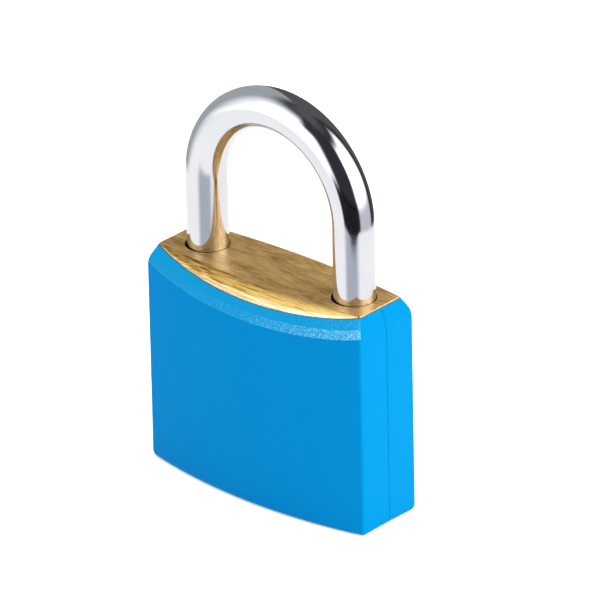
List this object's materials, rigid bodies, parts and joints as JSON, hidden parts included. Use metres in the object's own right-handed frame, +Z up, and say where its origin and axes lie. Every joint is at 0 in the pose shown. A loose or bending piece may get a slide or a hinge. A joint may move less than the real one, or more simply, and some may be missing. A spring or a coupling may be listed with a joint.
{
  "type": "padlock",
  "caption": "Closed-shackle brass padlock with a round chromed bar shackle and a bowed two-part blue plastic cover, pin-tumbler cylinder in the underside.",
  "frame": {"origin": "centre of the underside of the cover, on the plane the padlock stands on", "axes": "+X across the width towards the short toe leg, -Y towards the front face, +Z up along the shackle legs"},
  "size_m": [0.0424, 0.0172, 0.0649],
  "materials": {
    "blue_plastic": "satin moulded plastic with a fine texture",
    "brass_body": "brushed along the width, bright bevels",
    "plug_brass": "turned",
    "chrome_shackle": "polished chrome plate",
    "plain_steel": "machined",
    "spring_steel": "drawn wire"
  },
  "bodies": {
    "lock_body": {"brass_body": "brass_body", "front_cover": "blue_plastic", "back_cover": "blue_plastic", "bolt_channel_plug": "plug_brass", "shackle_retaining_pin": "plain_steel", "cylinder_retaining_pin": "plain_steel", "shackle_spring": "spring_steel", "driver_pin_1": "plain_steel", "driver_pin_2": "plain_steel", "driver_pin_3": "plain_steel", "driver_pin_4": "plain_steel", "driver_pin_5": "plain_steel", "pin_spring_1": "spring_steel", "pin_spring_2": "spring_steel", "pin_spring_3": "spring_steel", "pin_spring_4": "spring_steel", "pin_spring_5": "spring_steel", "chamber_plug_1": "plug_brass", "chamber_plug_2": "plug_brass", "chamber_plug_3": "plug_brass", "chamber_plug_4": "plug_brass", "chamber_plug_5": "plug_brass"},
    "shackle": {"shackle": "chrome_shackle"},
    "plug": {"cylinder_plug": "plug_brass", "cylinder_cam": "plain_steel", "key_pin_1": "plug_brass", "key_pin_2": "plug_brass", "key_pin_3": "plug_brass", "key_pin_4": "plug_brass", "key_pin_5": "plug_brass"},
    "toe_bolt": {"toe_bolt": "plain_steel", "toe_bolt_spring": "spring_steel"},
    "heel_bolt": {"heel_bolt": "plain_steel", "heel_bolt_spring": "spring_steel"}
  },
  "joints": [
    {"name": "shackle_lift", "type": "slide", "parent": "lock_body", "child": "shackle", "axis": [0, 0, 1], "range_m": [0, 0.0096], "deforming": ["shackle_spring"]},
    {"name": "plug_turn", "type": "hinge", "parent": "lock_body", "child": "plug", "pos_m": [0.00035, 0, 0.0012], "axis": [0, 0, 1], "range_deg": [-90, 0]},
    {"name": "toe_bolt_slide", "type": "slide", "parent": "lock_body", "child": "toe_bolt", "axis": [1, 0, 0], "range_m": [0, 0.0017]},
    {"name": "heel_bolt_slide", "type": "slide", "parent": "lock_body", "child": "heel_bolt", "axis": [-1, 0, 0], "range_m": [0, 0.0017]}
  ],
  "couplings": [
    {"joint": "toe_bolt_slide", "follows": "plug_turn", "m_per_rad": -0.00108},
    {"joint": "heel_bolt_slide", "follows": "plug_turn", "m_per_rad": -0.00108}
  ]
}
